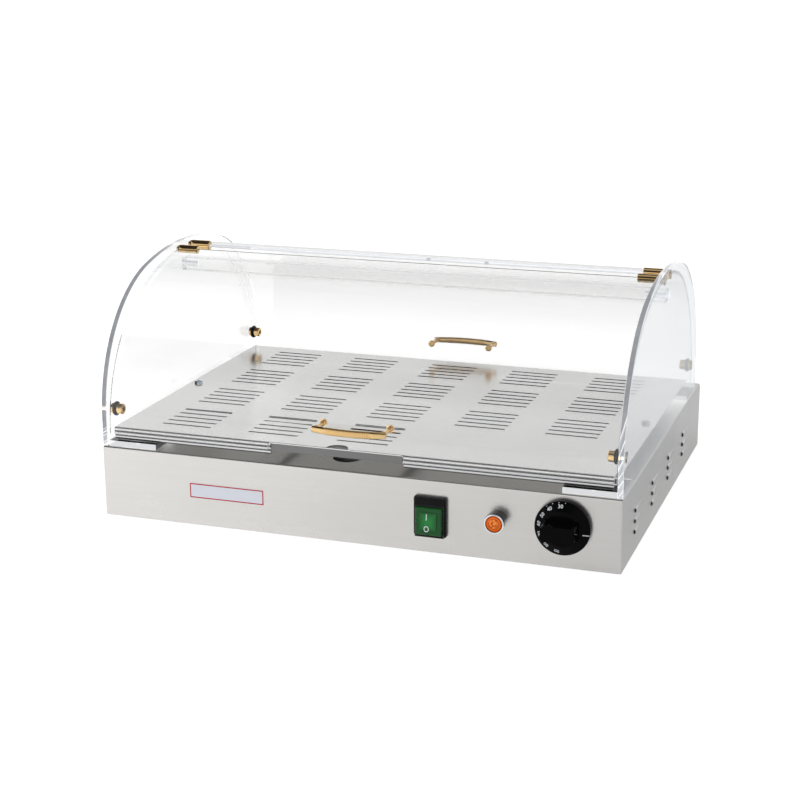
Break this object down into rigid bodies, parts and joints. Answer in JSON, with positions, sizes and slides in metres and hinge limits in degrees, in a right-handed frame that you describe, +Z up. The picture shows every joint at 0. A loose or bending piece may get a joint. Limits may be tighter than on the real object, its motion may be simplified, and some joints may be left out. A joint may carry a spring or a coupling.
{
  "type": "heated display case",
  "caption": "Countertop heated display case: stainless base with a perforated warm shelf, clear arched sides and curved clear doors that lift at front and back on brass hinges.",
  "frame": {"origin": "on the table under the middle of the base", "axes": "+X to the right seen from the front, +Y to the back, +Z up; the controls are on the -Y side"},
  "size_m": [0.5036, 0.4466, 0.236],
  "materials": {
    "stainless": "brushed stainless sheet",
    "tray_steel": "satin stainless sheet",
    "pan_steel": "satin stainless sheet",
    "zinc_plate": "galvanised sheet",
    "zinc_screw": "zinc plated",
    "heater_sheath": "oxidised sheath",
    "shaft_steel": "turned steel",
    "chrome": "polished",
    "brass": "polished",
    "copper": "drawn copper",
    "acrylic": "clear, polished",
    "green_rocker": "smooth",
    "green_lens": "translucent",
    "orange_lens": "translucent",
    "black_plastic": "fine texture",
    "black_knob": "smooth",
    "rubber": "plain",
    "ceramic": "glazed ceramic"
  },
  "bodies": {
    "case": {"base_housing": "stainless", "bottom_plate": "zinc_plate", "bottom_screws": "zinc_screw", "rubber_feet": "rubber", "heat_reflector": "zinc_plate", "heating_element": "heater_sheath", "element_straps": "zinc_plate", "element_seals": "ceramic", "perforated_tray": "tray_steel", "tray_front_trim": "tray_steel", "tray_supports": "zinc_plate", "tray_screws": "chrome", "pan_runners": "zinc_plate", "panel_feet": "acrylic", "panel_foot_screws": "zinc_screw", "side_panel_right": "acrylic", "side_panel_left": "acrylic", "cross_bar": "acrylic", "cross_bar_screws": "chrome", "bumper_spacers": "brass", "bumper_rings": "rubber", "bumper_screws": "brass", "hinge_bushes": "brass", "switch_bezel": "black_plastic", "switch_body": "black_plastic", "lamp_bezel": "chrome", "lamp_body": "black_plastic", "lamp_lens": "orange_lens", "lamp_nut": "black_plastic", "thermostat_body": "ceramic", "thermostat_screws": "zinc_screw", "thermostat_sensor": "copper", "terminal_block": "ceramic", "cable_gland": "black_plastic", "gland_seal": "rubber", "gland_nut": "black_plastic", "gland_locknut": "black_plastic"},
    "front_door": {"front_door": "acrylic", "front_hinge_barrels": "brass", "front_clamp_screws": "brass", "front_handle": "brass", "front_handle_screws": "brass"},
    "rear_door": {"rear_door": "acrylic", "rear_hinge_barrels": "brass", "rear_clamp_screws": "brass", "rear_handle": "brass", "rear_handle_screws": "brass"},
    "rocker": {"switch_rocker": "green_rocker", "rocker_lens": "green_lens"},
    "knob": {"thermostat_knob": "black_knob", "thermostat_shaft": "shaft_steel"},
    "pan": {"water_pan": "pan_steel"}
  },
  "joints": [
    {"name": "front_door_hinge", "type": "hinge", "parent": "case", "child": "front_door", "pos_m": [0, -0.031, 0.2275], "axis": [-1, 0, 0], "range_deg": [0, 105]},
    {"name": "rear_door_hinge", "type": "hinge", "parent": "case", "child": "rear_door", "pos_m": [0, -0.003, 0.2275], "axis": [1, 0, 0], "range_deg": [0, 105]},
    {"name": "rocker_tilt", "type": "hinge", "parent": "case", "child": "rocker", "pos_m": [0.077, -0.197, 0.0326], "axis": [1, 0, 0], "range_deg": [0, 10]},
    {"name": "knob_turn", "type": "hinge", "parent": "case", "child": "knob", "pos_m": [0.1983, -0.21, 0.04], "axis": [0, -1, 0], "range_deg": [-165, 104]},
    {"name": "pan_slide", "type": "slide", "parent": "case", "child": "pan", "axis": [0, -1, 0], "range_m": [0, 0.15]}
  ]
}
